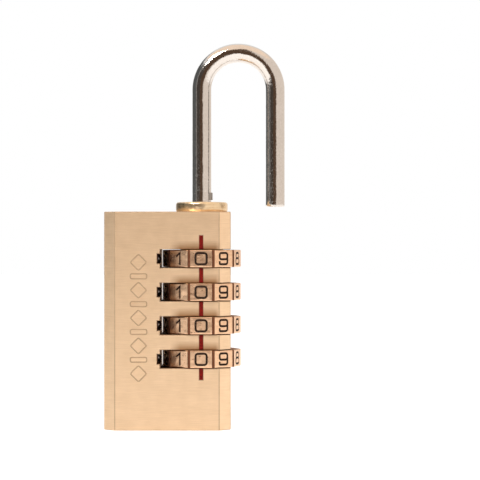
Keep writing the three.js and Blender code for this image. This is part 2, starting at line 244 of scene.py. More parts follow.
def cylinder(radius, low, high, centre=(0, 0), sides=FINE):
    return lathe("tool", [(radius, low), (radius, high)], sides, centre=centre)


def block(low, high):
    ring = [(low[0], low[1]), (high[0], low[1]), (high[0], high[1]), (low[0], high[1])]
    return loft("tool", [[(x, y, z) for x, y in ring] for z in (low[2], high[2])])


def joined(name, parts):
    """Several objects as one mesh, whose pieces stay apart."""
    work = bmesh.new()
    for part in parts:
        part.data.transform(part.matrix_world)
        work.from_mesh(part.data)
        bpy.data.objects.remove(part)
    mesh = bpy.data.meshes.new(name)
    work.to_mesh(mesh)
    work.free()
    obj = bpy.data.objects.new(name, mesh)
    bpy.context.scene.collection.objects.link(obj)
    return obj


def apply_modifiers(obj):
    bpy.context.view_layer.update()
    evaluated = obj.evaluated_get(bpy.context.evaluated_depsgraph_get())
    mesh = bpy.data.meshes.new_from_object(evaluated)
    obj.modifiers.clear()
    obj.data = mesh


def combine(obj, others, operation="DIFFERENCE"):
    """Cuts the others from obj, joins them to it or intersects it with them, one after the other."""
    for other in others:
        modifier = obj.modifiers.new("combine", "BOOLEAN")
        modifier.operation = operation
        modifier.solver = "MANIFOLD"
        modifier.object = other
    apply_modifiers(obj)
    for other in others:
        bpy.data.objects.remove(other)
    return obj


def round_edges(obj, width, segments=3, angle=30, test=None):
    """Rounds the edges that are sharper than angle and pass the test of their middle, in mm."""
    work = bmesh.new()
    work.from_mesh(obj.data)
    bmesh.ops.dissolve_limit(
        work, angle_limit=math.radians(0.5), verts=work.verts, edges=work.edges, delimit={"NORMAL"}
    )
    weights = work.edges.layers.float.new("bevel_weight_edge")
    for edge in work.edges:
        if len(edge.link_faces) != 2:
            continue
        middle = (edge.verts[0].co + edge.verts[1].co) / 2 / MM
        sharp = edge.calc_face_angle(0) > math.radians(angle)
        edge[weights] = float(sharp and (test is None or test(middle)))
    work.to_mesh(obj.data)
    work.free()
    modifier = obj.modifiers.new("round", "BEVEL")
    modifier.limit_method = "WEIGHT"
    modifier.width = width * MM
    modifier.segments = segments
    modifier.use_clamp_overlap = False
    modifier.loop_slide = True
    apply_modifiers(obj)
    return obj


def smooth(obj, angle=35):
    """Soft shading across shallow edges, with flat faces kept flat."""
    obj.data.shade_smooth()
    obj.data.set_sharp_from_angle(angle=math.radians(angle))
    modifier = obj.modifiers.new("normals", "WEIGHTED_NORMAL")
    modifier.keep_sharp = True
    modifier.weight = 80
    apply_modifiers(obj)
    return obj


def painted_shade(obj, amount):
    """Stores how much painted shade each face gets, from 0 to 1, by its middle in mm."""
    values = [amount(polygon.center / MM) for polygon in obj.data.polygons]
    obj.data.attributes.new(PAINTED_SHADE, "FLOAT", "FACE").data.foreach_set("value", values)
    return obj


def rounded_path(points, radius, closed):
    """A flat path with its corners rounded, where the radius is 0 to 0.5 of the shorter side at a corner."""
    path = []
    last = len(points) - 1
    for k, corner in enumerate(points):
        if radius == 0 or (not closed and k in (0, last)):
            path.append(Vector(corner))
            continue
        here = Vector(corner)
        before = Vector(points[k - 1]) - here
        after = Vector(points[(k + 1) % len(points)]) - here
        reach = min(radius, 0.49 * before.length, 0.49 * after.length)
        start = here + before.normalized() * reach
        end = here + after.normalized() * reach
        for step in range(9):
            t = step / 8
            path.append(start * (1 - t) ** 2 + here * 2 * t * (1 - t) + end * t**2)
    return path


def stroke(path, radius, closed, sides=12):
    """A round stroke along a flat path in X and Z, with round ends."""
    rings = []
    last = len(path) - 1
    for k, point in enumerate(path):
        before = path[k - 1] if k > 0 or closed else path[0]
        after = path[(k + 1) % len(path)] if k < last or closed else path[last]
        ahead = (after - point).normalized()
        behind = (point - before).normalized()
        tangent = (ahead + behind).normalized()
        side = Vector((-tangent.y, tangent.x))
        miter = 1 / max(0.5, math.sqrt((1 + ahead.dot(behind)) / 2)) if 0 < k < last else 1
        caps = [(0.0, 1.0)]
        if not closed and k in (0, last):
            turns = [math.radians(a) for a in (80, 60, 40, 20, 0)]
            if k == last:
                turns.reverse()
            sign = -1 if k == 0 else 1
            caps = [(sign * math.sin(a), math.cos(a)) for a in turns]
        for shift, scale in caps:
            middle = point + tangent * shift * radius
            ring = []
            for s in range(sides):
                a = 2 * math.pi * s / sides
                across = middle + side * radius * scale * miter * math.cos(a)
                ring.append((across.x, radius * scale * math.sin(a), across.y))
            rings.append(ring)
    return loft("stroke", rings, closed)


def glyph(digit):
    """One digit about its own middle, in the XZ plane."""
    strokes = []
    for kind, radius, points in DIGITS[digit]:
        scaled = [(x * DIGIT_HALF_WIDTH, z * DIGIT_HALF_HEIGHT) for x, z in points]
        path = rounded_path(scaled, radius, kind == "loop")
        strokes.append(stroke(path, STROKE_RADIUS, kind == "loop"))
    if len(strokes) > 1:
        combine(strokes[0], strokes[1:], "UNION")
    return strokes[0]


def coil(name, radius, wire, turns, low, high):
    """An open coil about the Z axis, between two heights."""
    steps = round(turns * 36)
    pitch = (high - low - 2 * wire) / turns
    slope = math.atan2(pitch, 2 * math.pi * radius)
    rings = []
    for step in range(steps + 1):
        angle = 2 * math.pi * turns * step / steps
        outward = Vector((math.cos(angle), math.sin(angle), 0))
        up = Vector((math.sin(angle) * math.sin(slope), -math.cos(angle) * math.sin(slope), math.cos(slope)))
        middle = outward * radius + Vector((0, 0, low + wire + pitch * turns * step / steps))
        turned = [2 * math.pi * s / 12 for s in range(12)]
        rings.append([middle + outward * wire * math.cos(a) + up * wire * math.sin(a) for a in turned])
    return loft(name, rings)


# ---------------------------------------------------------------- materials


def node(tree, kind, inputs=None, **settings):
    made = tree.nodes.new("ShaderNode" + kind)
    for name, value in settings.items():
        setattr(made, name, value)
    for key, value in (inputs or {}).items():
        if isinstance(value, bpy.types.NodeSocket):
            tree.links.new(value, made.inputs[key])
        else:
            made.inputs[key].default_value = value
    return made


def position(tree):
    """The place on the surface in the row frame, in mm."""
    place = node(tree, "TexCoord").outputs["Object"]
    return node(tree, "VectorMath", {0: place, 3: 1 / MM}, operation="SCALE").outputs[0]


def stretched(tree, place, scale):
    return node(tree, "VectorMath", {0: place, 1: scale}, operation="MULTIPLY").outputs[0]


def noise(tree, place, scale, detail=2.0, rough=0.5):
    inputs = {"Vector": place, "Scale": scale, "Detail": detail, "Roughness": rough}
    return node(tree, "TexNoise", inputs).outputs["Fac"]


def remap(tree, value, low, high, start=0.0, end=1.0):
    inputs = {0: value, 1: start, 2: end, 3: low, 4: high}
    return node(tree, "MapRange", inputs).outputs[0]


def added(tree, a, b, share=0.5):
    """A mix of two values, with share of the second."""
    return node(tree, "Mix", {0: share, 2: a, 3: b}).outputs[0]


def colour_mix(tree, share, a, b):
    inputs = {0: share, 6: (*a, 1), 7: (*b, 1)}
    return node(tree, "Mix", inputs, data_type="RGBA").outputs[2]


def brush_lines(tree, place, along, across, wave=0.06):
    """Fine lines that run level round the upright faces, and along X on the level ones."""
    drift = noise(tree, place, 0.35, 2.0)
    bend = node(tree, "CombineXYZ", {2: remap(tree, drift, -wave, wave)}).outputs[0]
    bent = node(tree, "VectorMath", {0: place, 1: bend}, operation="ADD").outputs[0]
    level = stretched(tree, bent, (along, along, across))
    flat = stretched(tree, bent, (along, across, along))
    normal = node(tree, "NewGeometry").outputs["Normal"]
    upward = node(tree, "SeparateXYZ", {0: normal}).outputs[2]
    size = node(tree, "Math", {0: upward}, operation="ABSOLUTE").outputs[0]
    is_flat = node(tree, "Math", {0: size, 1: 0.8}, operation="GREATER_THAN").outputs[0]
    inputs = {0: is_flat, 4: level, 5: flat}
    return node(tree, "Mix", inputs, data_type="VECTOR").outputs[1]


def metal(
    name, dark, light, roughness, lines, bump, tone_scale=0.5, contrast=0.5, painted_shade=None, waves=None,
    anisotropy=0.0, painted_shadow=None,
):
    """A metal with lines or grain in its colour, roughness and surface. lines(tree, place) gives a value.
    stain is the colour of the painted shade where the mesh's stain attribute is 1, waves the size and depth
    of a soft unevenness in mm, and tarnish a function like lines that says where a painted shadow turns the
    colour brown."""
    material = bpy.data.materials.new(name)
    material.use_nodes = True
    tree = material.node_tree
    shader = tree.nodes["Principled BSDF"]
    shader.inputs["Metallic"].default_value = 1.0
    shader.inputs["Anisotropic"].default_value = anisotropy
    place = position(tree)
    pattern = lines(tree, place)
    tone = added(tree, noise(tree, place, tone_scale, 3.0), pattern, 0.75)
    share = remap(tree, tone, 0.5 - contrast / 2, 0.5 + contrast / 2, 0.35, 0.65)
    colour = colour_mix(tree, share, dark, light)
    rough = remap(tree, pattern, roughness - 0.06, roughness + 0.06, 0.25, 0.75)
    # Painted shadow: the colour turns brown where the tarnish function says.
    if painted_shadow:
        inputs = {0: painted_shadow(tree, place), 6: colour, 7: (*PAINTED_SHADOW_COLOUR, 1)}
        colour = node(tree, "Mix", inputs, data_type="RGBA").outputs[2]
    # Painted shade: faces with the stain attribute turn dark brown, rough and less metallic.
    if painted_shade:
        depth = node(tree, "Attribute", attribute_name=PAINTED_SHADE).outputs["Fac"]
        inputs = {0: depth, 6: colour, 7: (*painted_shade, 1)}
        colour = node(tree, "Mix", inputs, data_type="RGBA").outputs[2]
        rough = node(tree, "Mix", {0: depth, 2: rough, 3: 0.8}).outputs[0]
        tree.links.new(remap(tree, depth, 1.0, 0.25), shader.inputs["Metallic"])
    tree.links.new(colour, shader.inputs["Base Color"])
    tree.links.new(rough, shader.inputs["Roughness"])
    inputs = {"Strength": 1.0, "Distance": bump * MM, "Height": pattern}
    if waves:
        size, depth = waves
        swell = {"Strength": 1.0, "Distance": depth * MM, "Height": noise(tree, place, 1 / size, 2.0)}
        inputs["Normal"] = node(tree, "Bump", swell).outputs[0]
    tree.links.new(node(tree, "Bump", inputs).outputs[0], shader.inputs["Normal"])
    return material


def brushed(tree, place):
    fine = noise(tree, brush_lines(tree, place, 0.3, 16.0), 1.0, 3.0, 0.6)
    coarse = noise(tree, brush_lines(tree, place, 0.35, 6.5, 0.12), 1.0, 3.0, 0.6)
    return added(tree, fine, coarse, 0.55)


def shadow_over_slots(tree, place, dial_centres):
    """A painted shadow on the front above the dials: 1 at the slots' upper edges, fading upwards."""
    x, y, z = node(tree, "SeparateXYZ", {0: place}).outputs
    lowest = dial_centres[-1] + SLOT_HEIGHT / 2
    pitch = dial_centres[0] - dial_centres[1]
    height = node(tree, "Math", {0: z, 1: lowest}, operation="SUBTRACT").outputs[0]
    above = node(tree, "Math", {0: height, 1: pitch}, operation="FLOORED_MODULO").outputs[0]
    limits = [
        remap(tree, above, 1.0, 0.0, 0.0, PAINTED_SHADOW_HEIGHT),
        remap(tree, height, 0.0, 1.0, -0.1, 0.0),
        remap(tree, height, 1.0, 0.0, DIAL_COUNT * pitch - 1, DIAL_COUNT * pitch),
        remap(tree, x, 0.0, 1.0, *PAINTED_SHADOW_LEFT),
        remap(tree, x, 1.0, 0.0, *PAINTED_SHADOW_RIGHT),
        remap(tree, y, 1.0, 0.0, *PAINTED_SHADOW_DEPTH),
    ]
    share = limits[0]
    for limit in limits[1:]:
        share = node(tree, "Math", {0: share, 1: limit}, operation="MULTIPLY").outputs[0]
    return share


def fine_brushed(tree, place):
    fine = noise(tree, brush_lines(tree, place, 0.8, 14.0, 0.02), 1.0, 2.0)
    return added(tree, fine, noise(tree, place, 2.5, 3.0), 0.5)


def turned_lines(tree, place):
    rings = noise(tree, stretched(tree, place, (0.25, 0.25, 7.0)), 1.0, 2.0)
    return added(tree, rings, noise(tree, place, 1.1, 3.0), 0.45)


def grain(tree, place):
    return added(tree, noise(tree, place, 3.0, 4.0, 0.65), noise(tree, place, 8.0, 2.0), 0.35)


def paint(name, dark, light, roughness, scale):
    material = bpy.data.materials.new(name)
    material.use_nodes = True
    tree = material.node_tree
    shader = tree.nodes["Principled BSDF"]
    place = position(tree)
    pattern = noise(tree, place, scale, 3.0)
    share = remap(tree, pattern, 0.0, 1.0, 0.35, 0.65)
    shader.inputs["Specular IOR Level"].default_value = 0.15
    tree.links.new(colour_mix(tree, share, dark, light), shader.inputs["Base Color"])
    tree.links.new(remap(tree, pattern, roughness - 0.08, roughness + 0.08), shader.inputs["Roughness"])
    normal = node(tree, "Bump", {"Strength": 0.6, "Distance": 0.02 * MM, "Height": pattern}).outputs[0]
    tree.links.new(normal, shader.inputs["Normal"])
    return material


def make_materials(dial_centres):
    """One material for each slot of the record."""

    # A painted shadow above each dial.
    def shadow_above_dials(tree, place):
        return shadow_over_slots(tree, place, dial_centres)

    return {
        # Each painted shade colour below darkens recesses, grooves and the lug; the case also gets a painted
        # shadow above each dial.
        "case_brass": metal(
            "case_brass", (0.74, 0.54, 0.35), (0.89, 0.68, 0.47), 0.47, brushed, 0.018,
            contrast=0.85, painted_shade=(0.09, 0.03, 0.008), anisotropy=0.35, painted_shadow=shadow_above_dials,
        ),
        "dial_brass": metal(
            "dial_brass", (0.66, 0.40, 0.24), (0.90, 0.64, 0.44), 0.3, fine_brushed, 0.006,
            painted_shade=(0.17, 0.06, 0.025), waves=(1.3, 0.09),
        ),
        "collar_brass": metal(
            "collar_brass", (0.60, 0.41, 0.22), (0.97, 0.82, 0.58), 0.3, turned_lines, 0.012,
            tone_scale=0.35, contrast=0.7, waves=(1.0, 0.12),
        ),
        "chrome": metal(
            "chrome", (0.56, 0.53, 0.50), (0.74, 0.71, 0.68), 0.11, grain, 0.02,
            painted_shade=(0.1, 0.09, 0.085), waves=(1.3, 0.05),
        ),
        "sleeve_brass": metal(
            "sleeve_brass", (0.55, 0.36, 0.16), (0.74, 0.53, 0.27), 0.33, turned_lines, 0.008,
        ),
        "spring_steel": metal("spring_steel", (0.33, 0.33, 0.34), (0.52, 0.52, 0.53), 0.3, grain, 0.006),
        "index_paint": paint("index_paint", (0.10, 0.001, 0.0003), (0.2, 0.004, 0.001), 0.55, 3.0),
        "digit_paint": paint("digit_paint", (0.010, 0.005, 0.003), (0.035, 0.017, 0.010), 0.6, 4.0),
    }


# ---------------------------------------------------------------- pieces


def box_mm(name):
    low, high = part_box(name)
    return low / MM, high / MM


def case_outline(low, high):
    x0, y0, x1, y1 = low.x, low.y, high.x, high.y
    c = CASE_CHAMFER
    return [
        (x0 + c, y0), (x1 - c, y0), (x1, y0 + c), (x1, y1 - c),
        (x1 - c, y1), (x0 + c, y1), (x0, y1 - c), (x0, y0 + c),
    ]


def lead_in(centre, low):
    front = low.y - PAST
    slope = (LEAD_IN_FRONT_HEIGHT - LEAD_IN_BACK_HEIGHT) / 2 / (LEAD_IN_BACK_Y - low.y)
    front_half = LEAD_IN_FRONT_HEIGHT / 2 + slope * PAST
    back_half = LEAD_IN_BACK_HEIGHT / 2
    outline = [
        (front, centre - front_half), (LEAD_IN_BACK_Y, centre - back_half),
        (LEAD_IN_BACK_Y, centre + back_half), (front, centre + front_half),
    ]
    return loft("tool", [[(x, y, z) for y, z in outline] for x in (SLOT_WALL_X - LEAD_IN_DEPTH, 0)])


def detent_bore(centre):
    tool = cylinder(DETENT_BORE_RADIUS, DETENT_BORE_END_X, SLOT_WALL_X + PAST, sides=32)
    tool.data.transform(Matrix.Rotation(math.pi / 2, 4, "Y"))
    tool.data.transform(Matrix.Translation((0, 0, centre * MM)))
    return tool


def make_case(axis_x, dial_centres):
    low, high = box_mm("case")
    outline = case_outline(low, high)
    case = loft("case_body", [[(x, y, z) for x, y in outline] for z in (low.z, high.z)])
    top = high.z + PAST
    tools = [
        cylinder(MAIN_BORE_RADIUS, MAIN_BORE_BOTTOM, top, (axis_x, 0)),
        cylinder(HEEL_BORE_RADIUS, CASE_FLOOR, MAIN_BORE_BOTTOM + PAST, (axis_x, 0)),
        cylinder(TOE_HOLE_RADIUS, TOE_HOLE_BOTTOM, top, (axis_x - LEG_SPACING, 0)),
        block(
            (axis_x - INDEX_WIDTH / 2, low.y - PAST, INDEX_BOTTOM),
            (axis_x + INDEX_WIDTH / 2, low.y + INDEX_DEPTH, INDEX_TOP),
        ),
    ]
    for centre in dial_centres:
        half = SLOT_HEIGHT / 2
        tools += [
            block((SLOT_WALL_X, low.y - PAST, centre - half), (high.x + PAST, high.y + PAST, centre + half)),
            lead_in(centre, low),
            detent_bore(centre),
        ]
    combine(case, tools)

    def on_skin(middle, depth=0.01):
        slant = abs(middle.x) + abs(middle.y) > high.x + high.y - CASE_CHAMFER - depth
        level = middle.z < low.z + depth or middle.z > high.z - depth
        return slant or level or abs(middle.y) > high.y - depth or abs(middle.x) > high.x - depth

    round_edges(case, CASE_EDGE, test=on_skin)
    combine(case, [ornament(low.y)])
    smooth(case)

    # Painted shade: the slot insides and bores get it in full, the slot walls less, and faces just under the
    # skin, such as the engraved ornament, a little.
    def darkness(middle):
        if on_skin(middle, 0.004):
            return 0.0
        if abs(middle.x - SLOT_WALL_X) < 0.01:
            return WALL_PAINTED_SHADE
        return ENGRAVING_PAINTED_SHADE if on_skin(middle, CASE_EDGE) else 1.0

    return painted_shade(case, darkness)


def ornament(front):
    """The cutter of a column of shallow outlines: lozenges and rounded bars in turn."""
    tools = []
    for k in range(ORNAMENT_COUNT):
        z = ORNAMENT_BOTTOM + k * ORNAMENT_PITCH
        half = ORNAMENT_HALF_WIDTH
        if k % 2:
            points = [(-half, -0.4), (half, -0.4), (half, 0.4), (-half, 0.4)]
        else:
            points = [(0, -half), (half, 0), (0, half), (-half, 0)]
        path = rounded_path([(ORNAMENT_X + x, z + dz) for x, dz in points], 0.3, True)
        tools.append(stroke(path, ORNAMENT_STROKE, True, 8))
    tool = joined("ornament", tools)
    tool.data.transform(Matrix.Translation((0, front * MM, 0)) @ Matrix.Diagonal((1, 0.7, 1, 1)))
    return tool


def dial_outline():
    """A ten-sided outline with a round-bottomed groove at each corner, counterclockwise."""
    corner_angle = math.pi / DIAL_SIDES
    half_groove = DIAL_GROOVE_WIDTH / 2
    apothem = DIAL_CORNER_RADIUS * math.cos(corner_angle)
    half_side = DIAL_CORNER_RADIUS * math.sin(corner_angle)
    points = []
    for side in range(DIAL_SIDES):
        facing = math.radians(-90 + DIAL_STEP * side)
        out = Vector((math.cos(facing), math.sin(facing)))
        along = Vector((-out.y, out.x))
        for share in (-1, -0.5, 0, 0.5, 1):
            points.append(out * apothem + along * share * (half_side - half_groove))
        corner = facing + corner_angle
        out = Vector((math.cos(corner), math.sin(corner)))
        along = Vector((-out.y, out.x))
        rim = DIAL_CORNER_RADIUS - half_groove * math.tan(corner_angle)
        depth = DIAL_GROOVE_DEPTH - half_groove * math.tan(corner_angle)
        for step in range(1, 8):
            angle = math.pi * step / 8
            flat = half_groove * -math.cos(angle)
            points.append(out * (rim - depth * math.sin(angle) ** 0.6) + along * flat)
    return points


def sector(inner, outer, angle, low, high):
    spread = [angle + SPLINE_ANGLE * (s / 4 - 0.5) for s in range(5)]
    ring = [(outer * math.cos(a), outer * math.sin(a)) for a in spread]
    ring += [(inner * math.cos(a), inner * math.sin(a)) for a in reversed(spread)]
    return loft("tool", [[(x, y, z) for x, y in ring] for z in (low, high)])


def make_dial(half):
    outline = dial_outline()
    reach = DIAL_CORNER_RADIUS
    steps = [math.radians(a) for a in (0, 22.5, 45, 67.5, 90)]
    rounding = [(DIAL_EDGE * (1 - math.sin(a)), DIAL_EDGE * (1 - math.cos(a))) for a in steps]
    levels = [(inset, -half + rise) for inset, rise in rounding]
    levels += [(inset, half - rise) for inset, rise in reversed(rounding)]
    rings = []
    for inset, z in levels:
        share = 1 - inset / reach
        rings.append([(p.x * share, p.y * share, z) for p in outline])
    bore = []
    for p in outline:
        flat = Vector((p.x, p.y)).normalized() * DIAL_BORE_RADIUS
        bore.append((flat.x, flat.y))
    edge = DIAL_BORE_EDGE
    for grow, z in ((edge, half), (0, half - edge), (0, edge - half), (edge, -half)):
        share = 1 + grow / DIAL_BORE_RADIUS
        rings.append([(x * share, y * share, z) for x, y in bore])
    dial = loft("dial", rings, closed=True)
    teeth = []
    for side in range(DIAL_SIDES):
        angle = math.radians(DIAL_STEP * (side + 0.5))
        top = half - 0.05
        teeth.append(sector(DIAL_TOOTH_RADIUS, DIAL_BORE_RADIUS + 0.2, angle, half - DIAL_TOOTH_HEIGHT, top))
    combine(dial, [joined("teeth", teeth)], "UNION")
    return dial


def facet_places():
    """The transform of each digit onto its facet: 0 faces the front, and 1 follows it towards -X."""
    apothem = DIAL_CORNER_RADIUS * math.cos(math.pi / DIAL_SIDES) * MM
    front = Matrix.Translation((0, -apothem, 0))
    return {digit: Matrix.Rotation(math.radians(-DIAL_STEP * digit), 4, "Z") @ front for digit in DIGITS}


def dial_darkness(middle, half):
    """Painted shade: full in the corner grooves and the bore, less on the level faces, and none on the
    facets.
    """
    radius = math.hypot(middle.x, middle.y)
    turn = math.atan2(middle.y, middle.x) % (2 * math.pi / DIAL_SIDES)
    nearest = min(turn, 2 * math.pi / DIAL_SIDES - turn)
    in_groove = radius > DIAL_CORNER_RADIUS - 2 * DIAL_GROOVE_DEPTH
    in_groove = in_groove and radius * math.sin(nearest) < 0.49 * DIAL_GROOVE_WIDTH
    if in_groove or radius < DIAL_BORE_RADIUS + 0.3:
        return 1.0
    return 0.75 if abs(middle.z) > half - 0.02 else 0.0


def make_dials(axis_x, dial_centres):
    low, high = box_mm("dial_1")
    half = (high.z - low.z) / 2
    dial = make_dial(half)
    cutters = []
    paints = []
    for digit, facet in facet_places().items():
        cutter = glyph(digit)
        ink = cutter.copy()
        ink.data = cutter.data.copy()
        bpy.context.scene.collection.objects.link(ink)
        cutter.data.transform(facet @ Matrix.Diagonal((1, STROKE_ENGRAVING, 1, 1)))
        sink = Matrix.Translation((0, PAINT_DEPTH * MM, 0))
        ink.data.transform(facet @ sink @ Matrix.Diagonal((1, PAINT_THICKNESS, 1, 1)))
        cutters.append(cutter)
        paints.append(ink)
    combine(dial, [joined("digits", cutters)])
    smooth(dial, 40)
    painted_shade(dial, lambda middle: dial_darkness(middle, half))
    ink = joined("ink", paints)
    smooth(ink, 60)
    pieces = []
    for k, centre in enumerate(dial_centres):
        for source, name in ((dial, "dial_ring"), (ink, "dial_digits")):
            copy = bpy.data.objects.new(f"{name}_{k + 1}", source.data.copy())
            copy.data.transform(Matrix.Translation((axis_x * MM, 0, centre * MM)))
            bpy.context.scene.collection.objects.link(copy)
            pieces.append((copy, k + 1))
    bpy.data.objects.remove(dial)
    bpy.data.objects.remove(ink)
    return pieces


def shackle_path(axis_x, heel, toe):
    """Centre points with their directions in XZ, from the heel over the crown to the toe."""
    radius = LEG_SPACING / 2
    points = [(axis_x, heel, 0.0)]
    legs = [heel + (CROWN_CENTRE - heel) * s / 12 for s in range(1, 12)]
    points += [(axis_x, z, 0.0) for z in (heel + 2 * TOE_EDGE, *legs)]
    for step in range(49):
        angle = math.pi * step / 48
        x = axis_x + radius * (1 - math.cos(angle))
        points.append((x, CROWN_CENTRE + radius * math.sin(angle), angle))
    down = [CROWN_CENTRE + (toe - CROWN_CENTRE) * s / 6 for s in range(1, 6)]
    points += [(axis_x + LEG_SPACING, z, math.pi) for z in (*down, toe + 2 * TOE_EDGE, toe)]
    return points


def make_shackle(axis_x, dial_centres):
    heel = box_mm("shackle")[0].z
    rings = []

    def add_ring(x, z, angle, radius):
        side = (math.cos(angle), -math.sin(angle))
        turned = [2 * math.pi * s / FINE for s in range(FINE)]
        ring = []
        for a in turned:
            reach = radius * math.cos(a)
            ring.append((x + side[0] * reach, radius * math.sin(a), z + side[1] * reach))
        rings.append(ring)

    path = shackle_path(axis_x, heel, TOE_BOTTOM)
    ease = [math.radians(a) for a in (0, 22.5, 45, 67.5, 90)]
    rounding = [(TOE_EDGE * (1 - math.cos(a)), TOE_EDGE * (1 - math.sin(a))) for a in ease]
    x, z, angle = path[0]
    for rise, inset in rounding:
        add_ring(x, z + rise, angle, ROD_RADIUS - inset)
    for x, z, angle in path[1:-1]:
        add_ring(x, z, angle, ROD_RADIUS)
    x, z, angle = path[-1]
    for rise, inset in reversed(rounding):
        add_ring(x, z + rise, angle, ROD_RADIUS - inset)
    shackle = loft("shackle_rod", rings)

    flange_low = STOP_FLANGE_TOP - STOP_FLANGE_HEIGHT
    bevel = STOP_FLANGE_BEVEL
    flange = [
        (TOOTH_RADIUS - bevel, flange_low), (TOOTH_RADIUS, flange_low + bevel),
        (TOOTH_RADIUS, STOP_FLANGE_TOP - bevel), (TOOTH_RADIUS - bevel, STOP_FLANGE_TOP),
    ]
    additions = [lathe("tool", flange, centre=(axis_x, 0))]
    lug = cylinder(LUG_RADIUS, LUG_BOTTOM, LUG_BOTTOM + LUG_HEIGHT, (axis_x, 0))
    keep = block(
        (axis_x, -LUG_WIDTH / 2, LUG_BOTTOM - PAST),
        (axis_x + LUG_RADIUS + PAST, LUG_WIDTH / 2, LUG_BOTTOM + LUG_HEIGHT + PAST),
    )
    additions.append(combine(lug, [keep], "INTERSECT"))
    for centre in dial_centres:
        bottom = centre + TOOTH_ABOVE_DIAL_CENTRE
        additions.append(
            block(
                (axis_x, -TOOTH_WIDTH / 2, bottom),
                (axis_x + TOOTH_RADIUS, TOOTH_WIDTH / 2, bottom + TOOTH_HEIGHT),
            )
        )
    combine(shackle, additions, "UNION")
    combine(shackle, [cylinder(SPRING_BORE_RADIUS, heel - PAST, heel + SPRING_BORE_DEPTH, (axis_x, 0))])
    smooth(shackle)

    # Painted shade on the lug.
    def darkness(middle):
        reach = math.hypot(middle.x - axis_x, middle.y)
        is_level = LUG_BOTTOM - 0.01 < middle.z < LUG_BOTTOM + LUG_HEIGHT + 0.01
        return LUG_PAINTED_SHADE if is_level and ROD_RADIUS + 0.03 < reach < LUG_RADIUS + 0.1 else 0.0

    return painted_shade(shackle, darkness)


def make_collar(axis_x):
    low, high = box_mm("collar")
    case_top = box_mm("case")[1].z
    reach = (high.x - low.x) / 2
    steps = [math.radians(a) for a in (0, 18, 36, 54, 72, 90)]
    rim = [(reach - COLLAR_RIM * (1 - math.cos(a)), high.z - COLLAR_RIM * (1 - math.sin(a))) for a in steps]
    base = [
        (reach - COLLAR_FOOT + COLLAR_FOOT * math.sin(a), case_top + COLLAR_RIM * (1 - math.cos(a)))
        for a in steps
    ]
    mouth = COLLAR_MOUTH_BEVEL
    profile = [
        (COLLAR_BORE_RADIUS, low.z),
        (COLLAR_SPIGOT_RADIUS - COLLAR_SPIGOT_BEVEL, low.z),
        (COLLAR_SPIGOT_RADIUS, low.z + COLLAR_SPIGOT_BEVEL),
        (COLLAR_SPIGOT_RADIUS, case_top),
        *base,
        *rim,
        (COLLAR_BORE_RADIUS + mouth, high.z),
        (COLLAR_BORE_RADIUS, high.z - mouth),
    ]
    collar = lathe("collar_ring", profile, 96, closed=True, centre=(axis_x, 0))
    keyway = cylinder(KEYWAY_RADIUS, low.z - PAST, high.z + PAST, (axis_x, 0))
    half = KEYWAY_WIDTH / 2
    beyond = KEYWAY_RADIUS + PAST
    keep = block((axis_x - beyond, -half, low.z - 2 * PAST), (axis_x + beyond, half, high.z + 2 * PAST))
    combine(collar, [combine(keyway, [keep], "INTERSECT")])
    return smooth(collar)


def make_index(axis_x, dial_centres):
    """The painted line: domed strips between the slots, a little below the case's face."""
    front = box_mm("case")[0].y
    half = SLOT_HEIGHT / 2 + CASE_EDGE / 2
    stops = [INDEX_TOP]
    for centre in dial_centres:
        stops += [centre + half, centre - half]
    stops.append(INDEX_BOTTOM)
    strips = []
    width = INDEX_WIDTH / 2
    back = front + INDEX_DEPTH - 0.01
    across = [-1, -0.9, -0.6, 0, 0.6, 0.9, 1]
    count = 12
    for high, low in zip(stops[::2], stops[1::2]):
        rings = []
        for step in range(count + 1):
            z = low + (high - low) * step / count
            sway = 0.012 * math.sin(5.3 * z) + 0.008 * math.sin(13.1 * z)
            skin = [(axis_x + width * s, front + 0.02 + sway / 2 + 0.02 * s**4) for s in across]
            floor = [(axis_x + width, back), (axis_x - width, back)]
            rings.append([(x, y, z) for x, y in skin + floor])
        strips.append(loft("strip", rings))
    return smooth(joined("index_line", strips))


def make_springs(axis_x):
    """The coil springs under the shackle and under the sleeves, with the node that each one replaces."""
    springs = []
    for name, node_name, size in (
        ("shackle_coil", "shackle_spring", SHACKLE_SPRING),
        ("reset_coil", "reset_spring", RESET_SPRING),
    ):
        low, high = box_mm(node_name)
        spring = coil(name, low=low.z, high=high.z, **size)
        spring.data.transform(Matrix.Translation((axis_x * MM, 0, 0)))
        springs.append((smooth(spring), node_name))
    return springs


def make_ball(number):
    """A detent ball, from a subdivided icosahedron that is drawn out to its true radius."""
    low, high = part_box(f"detent_ball_{number}")
    work = bmesh.new()
    bmesh.ops.create_icosphere(work, subdivisions=4, radius=DETENT_BALL_RADIUS * MM)
    bmesh.ops.translate(work, verts=work.verts, vec=(low + high) / 2)
    mesh = bpy.data.meshes.new("ball")
    work.to_mesh(mesh)
    work.free()
    ball = bpy.data.objects.new(f"detent_steel_ball_{number}", mesh)
    bpy.context.scene.collection.objects.link(ball)
    ball.data.shade_smooth()
    return ball


# ---------------------------------------------------------------- studio


def set_up(name, vertices, faces, material, seen=False):
    """A piece of the set, which only shows in reflections unless it is to be seen."""
    obj = new_object(name, vertices, faces)
    obj.data.materials.append(material)
    obj.visible_camera = seen
    return obj


def screen(name, first, last, height, distance, material):
    """A curved sheet that stands round the object, from the first angle to the last."""
    count = 16
    vertices = []
    for step in range(count + 1):
        angle = math.radians(first + (last - first) * step / count)
        x = distance * math.sin(angle)
        y = -distance * math.cos(angle)
        vertices += [(x, y, 0), (x, y, height)]
    faces = [(2 * k, 2 * k + 1, 2 * k + 3, 2 * k + 2) for k in range(count)]
    return set_up(name, vertices, faces, material)


